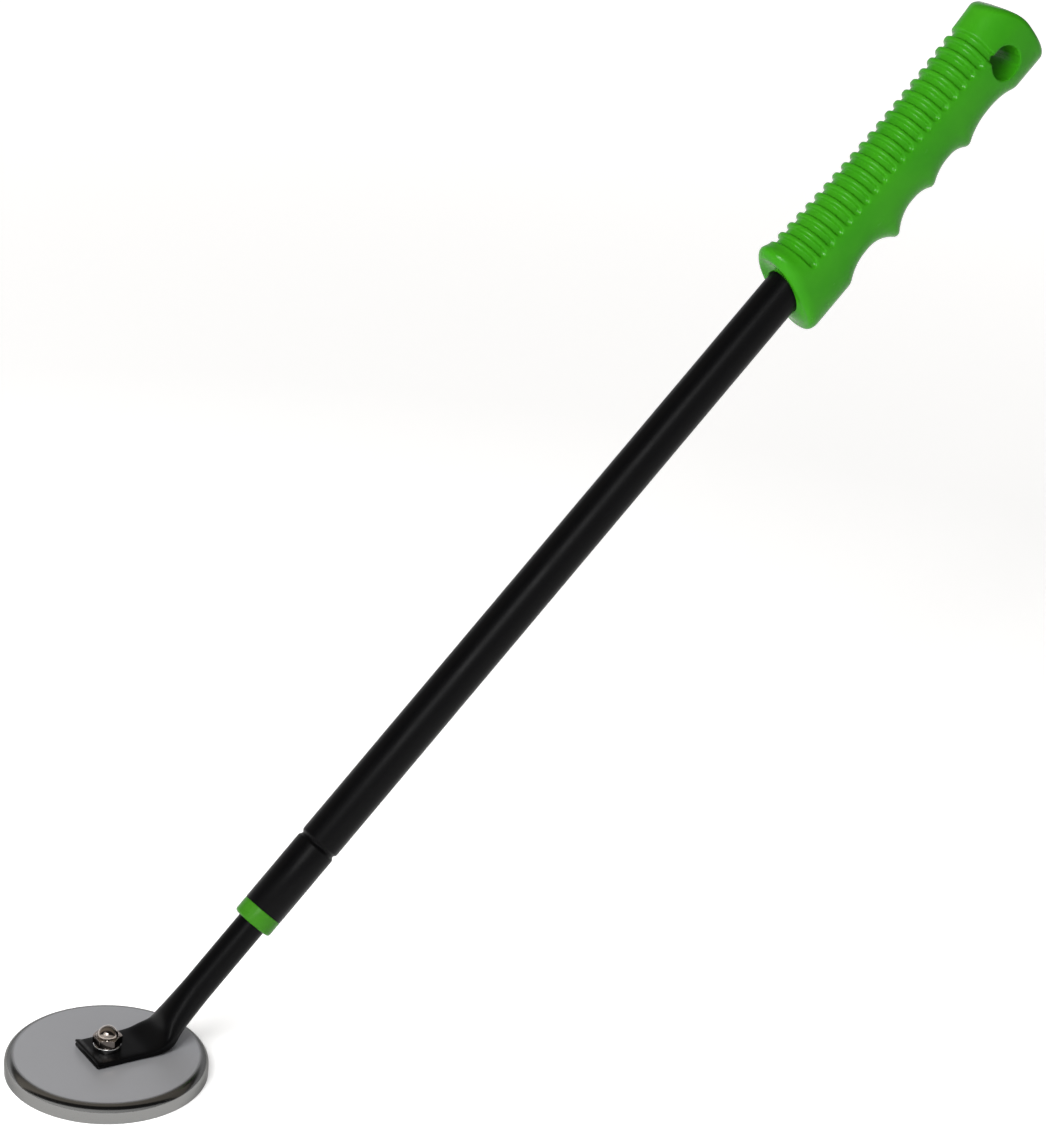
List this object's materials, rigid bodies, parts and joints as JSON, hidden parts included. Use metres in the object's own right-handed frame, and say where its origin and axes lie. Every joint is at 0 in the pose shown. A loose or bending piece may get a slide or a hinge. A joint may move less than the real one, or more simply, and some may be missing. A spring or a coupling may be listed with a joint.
{
  "type": "magnetic pickup tool",
  "caption": "Telescoping magnetic pickup tool: a flat round magnet bolted to a bent, flattened tube that slides in an outer tube with a ribbed grip.",
  "frame": {"origin": "centre of the magnet's working face", "axes": "+Z points away from the working face, into the tool; the rod leans along +X, and Y runs across it"},
  "size_m": [0.4222, 0.075, 0.3806],
  "materials": {
    "plated_cup": "bright nickel plating with fine scuffs",
    "ferrite": "ground ferrite, matte",
    "epoxy": "cured epoxy",
    "plated_fastener": "bright plating",
    "black_tube": "satin black paint",
    "nylon": "natural nylon",
    "red_nylon": "red nylon",
    "plain_steel": "zinc-plated steel",
    "green_collar": "moulded green plastic",
    "black_plastic": "moulded black plastic",
    "green_grip": "glossy green soft vinyl"
  },
  "bodies": {
    "magnet_head": {"magnet_cup": "plated_cup", "magnet_disc": "ferrite", "magnet_bond": "epoxy", "stud": "plated_fastener", "flat_washer": "plated_fastener", "dome_nut": "plated_fastener"},
    "inner_rod": {"inner_tube": "black_tube", "cam_plug": "nylon", "cam_cap": "plain_steel", "cam_screw": "plain_steel"},
    "lock_ring": {"cam_ring": "red_nylon"},
    "collar": {"collar_bush": "green_collar"},
    "handle": {"outer_tube": "black_tube", "tube_cap": "black_plastic", "grip": "green_grip"}
  },
  "joints": [
    {"name": "head_swivel", "type": "hinge", "parent": "magnet_head", "child": "inner_rod", "pos_m": [0, 0, 0.00835], "axis": [0, 0, 1], "range_deg": [-180, 180]},
    {"name": "telescope", "type": "slide", "parent": "inner_rod", "child": "collar", "axis": [0.6947, 0, 0.7193], "range_m": [0, 0.34]},
    {"name": "tube_twist", "type": "hinge", "parent": "collar", "child": "handle", "pos_m": [0.0181, 0, 0.0071], "axis": [0.6947, 0, 0.7193], "range_deg": [-40, 40]},
    {"name": "cam_turn", "type": "hinge", "parent": "inner_rod", "child": "lock_ring", "pos_m": [0.32946, 0, 0.32852], "axis": [0.6947, 0, 0.7193], "range_deg": [-40, 40]}
  ],
  "couplings": [
    {"joint": "cam_turn", "follows": "tube_twist", "ratio": 1}
  ]
}
